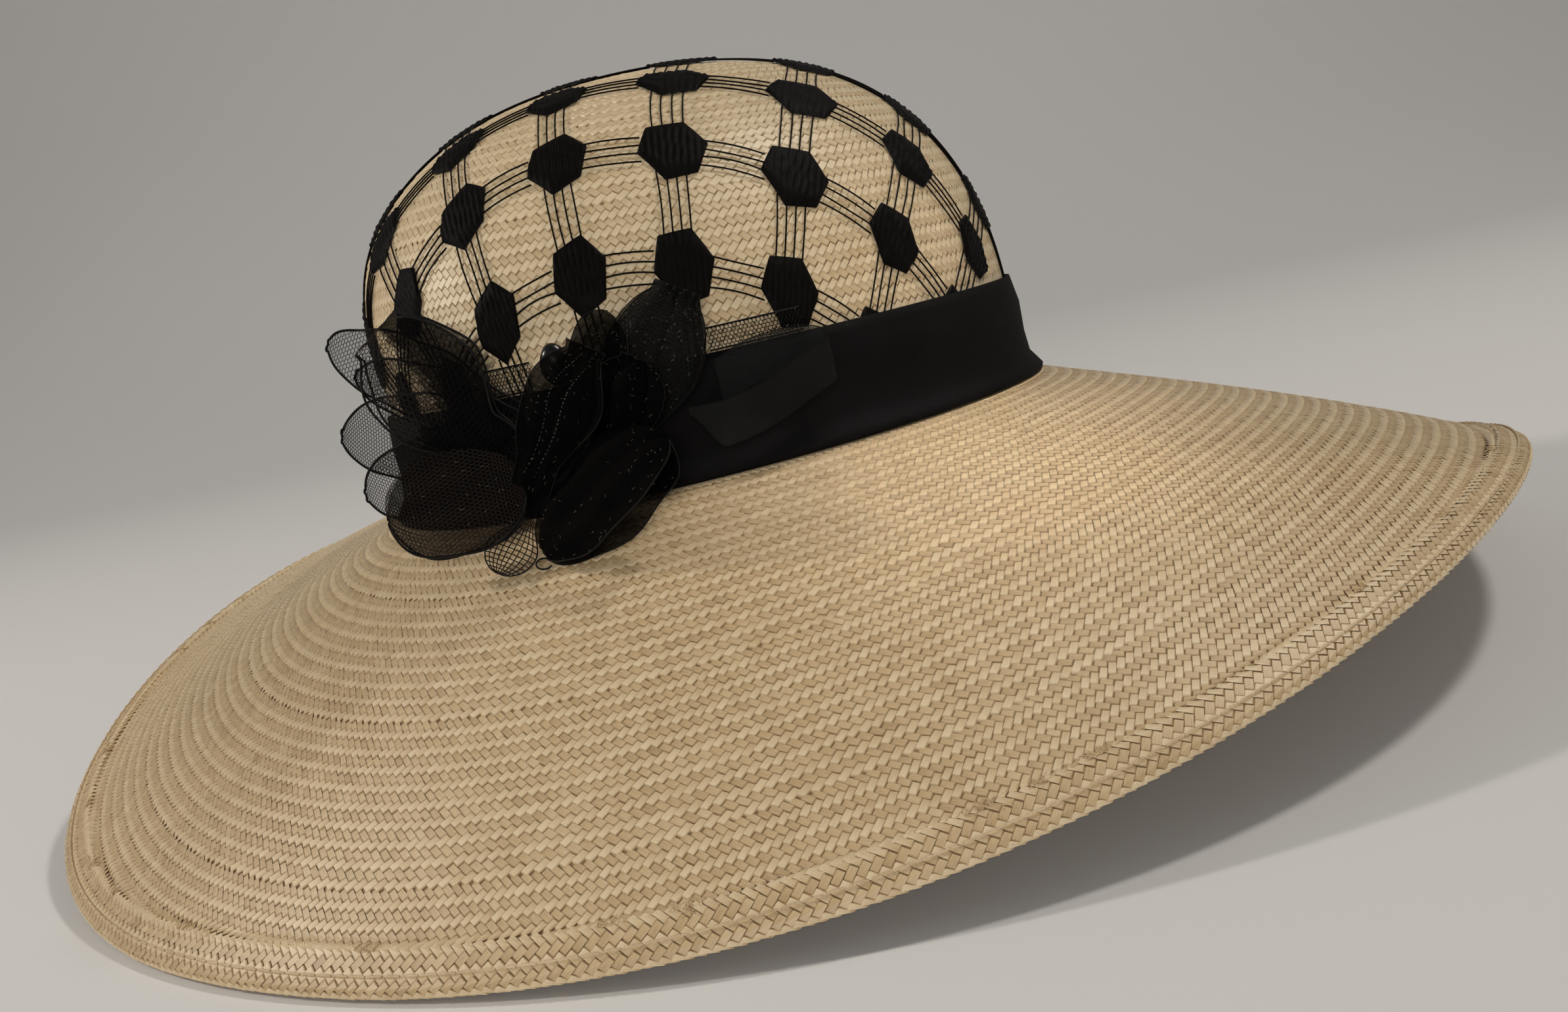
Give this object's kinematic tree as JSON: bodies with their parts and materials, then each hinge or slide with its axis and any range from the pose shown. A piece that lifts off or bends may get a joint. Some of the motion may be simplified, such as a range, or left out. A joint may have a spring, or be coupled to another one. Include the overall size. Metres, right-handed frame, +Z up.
{
  "type": "wide-brimmed straw hat",
  "caption": "Wide-brimmed straw hat with a domed crown under a net of lace dots, a ribbon band and a flower of sheer ribbon loops. It shades the wearer's head and neck.",
  "frame": {"origin": "centre of the brim's round edge, on the floor that the brim's front and back stand on", "axes": "+Z up through the crown, -Y towards the front end where the flower is, +X to the right seen from the back"},
  "size_m": [0.4057, 0.4063, 0.1719],
  "materials": {
    "straw": "woven, slightly glossy",
    "lace": "matte thread",
    "ribbon": "matte",
    "sheer_cloth": "fine sheer weave",
    "net": "open net",
    "satin": "satin"
  },
  "bodies": {
    "root": {"brim": "straw", "crown": "straw", "lace_cover": "lace", "band": "ribbon", "net_strip_left": "net", "net_strip_right": "net", "ribbon_curl": "sheer_cloth", "net_loop_upper": "net", "net_loop_inner": "net", "net_scallop_upper": "net", "net_scallop_lower": "net", "petal_left": "sheer_cloth", "petal_bottom": "sheer_cloth", "net_loop_bottom": "net", "petal_lower_right": "sheer_cloth", "loop_standing": "sheer_cloth", "petal_upper": "sheer_cloth", "fold_right": "sheer_cloth", "fold_centre": "sheer_cloth", "bud": "satin"}
  },
  "joints": []
}
